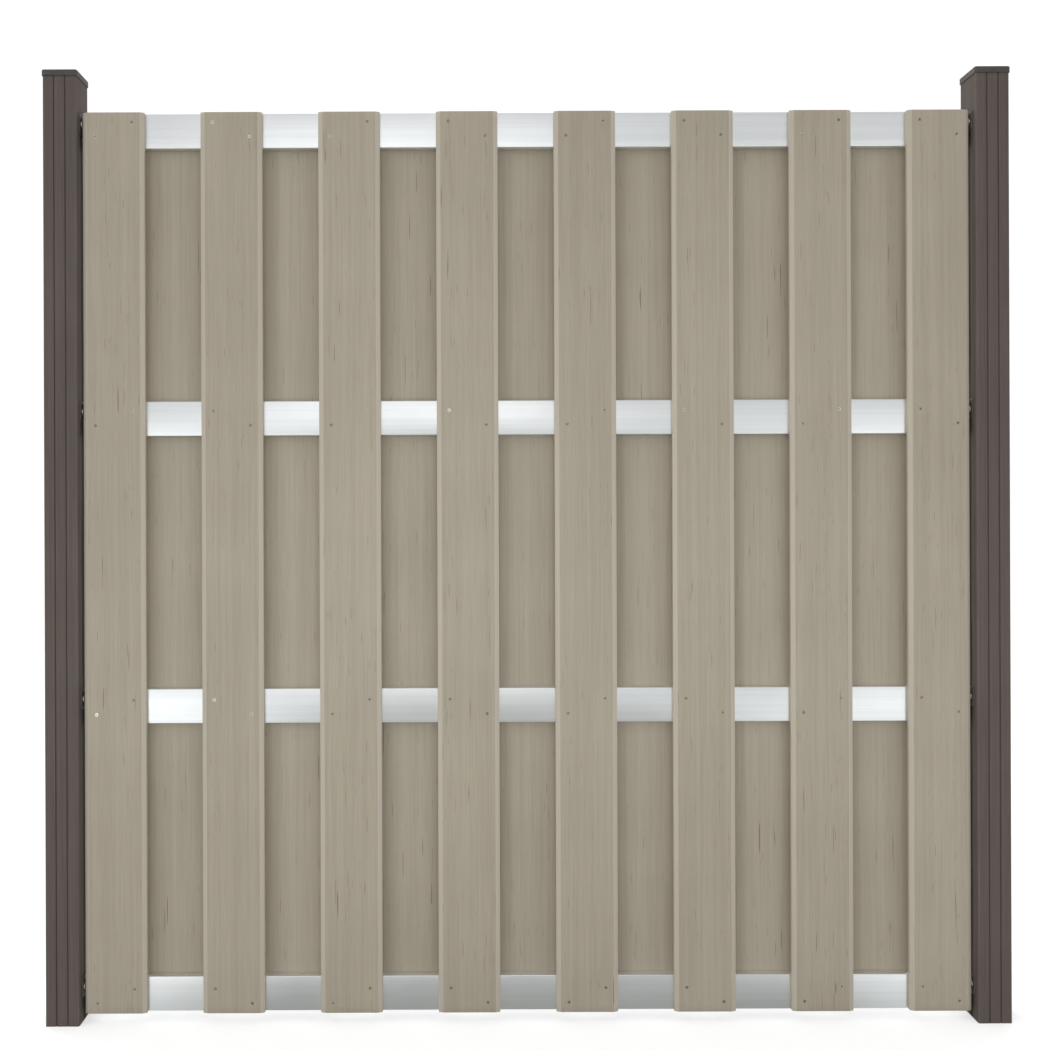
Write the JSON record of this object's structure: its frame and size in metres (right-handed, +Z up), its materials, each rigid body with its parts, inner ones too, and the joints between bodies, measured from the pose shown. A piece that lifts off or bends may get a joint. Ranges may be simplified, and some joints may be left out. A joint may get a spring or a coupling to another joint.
{
  "type": "fence panel",
  "caption": "Board-on-board garden fence panel: upright composite boards screwed to both sides of hollow aluminium rails, hung by brackets between hollow capped posts.",
  "frame": {"origin": "on the ground, midway between the posts and in the middle of their depth", "axes": "+X along the fence to the right as seen from the front, the front faces -Y, +Z up"},
  "size_m": [1.956, 0.072, 1.933],
  "materials": {
    "board_composite": "brushed, matt",
    "post_composite": "brushed, matt",
    "cap_plastic": "fine grain",
    "rail_aluminium": "mill, satin",
    "bracket_coating": "powder coated, matt",
    "screw_steel": "stainless"
  },
  "bodies": {
    "root": {"front_board_1": "board_composite", "front_board_2": "board_composite", "front_board_3": "board_composite", "front_board_4": "board_composite", "front_board_5": "board_composite", "front_board_6": "board_composite", "front_board_7": "board_composite", "front_board_8": "board_composite", "back_board_1": "board_composite", "back_board_2": "board_composite", "back_board_3": "board_composite", "back_board_4": "board_composite", "back_board_5": "board_composite", "back_board_6": "board_composite", "back_board_7": "board_composite", "rail_bottom": "rail_aluminium", "front_screws_bottom": "screw_steel", "back_screws_bottom": "screw_steel", "rail_lower": "rail_aluminium", "front_screws_lower": "screw_steel", "back_screws_lower": "screw_steel", "rail_upper": "rail_aluminium", "front_screws_upper": "screw_steel", "back_screws_upper": "screw_steel", "rail_top": "rail_aluminium", "front_screws_top": "screw_steel", "back_screws_top": "screw_steel", "post_left": "post_composite", "post_cap_left": "cap_plastic", "post_screws_left": "screw_steel", "rail_screws_left": "screw_steel", "bracket_left_bottom": "bracket_coating", "bracket_left_lower": "bracket_coating", "bracket_left_upper": "bracket_coating", "bracket_left_top": "bracket_coating", "post_right": "post_composite", "post_cap_right": "cap_plastic", "post_screws_right": "screw_steel", "rail_screws_right": "screw_steel", "bracket_right_bottom": "bracket_coating", "bracket_right_lower": "bracket_coating", "bracket_right_upper": "bracket_coating", "bracket_right_top": "bracket_coating"}
  },
  "joints": []
}
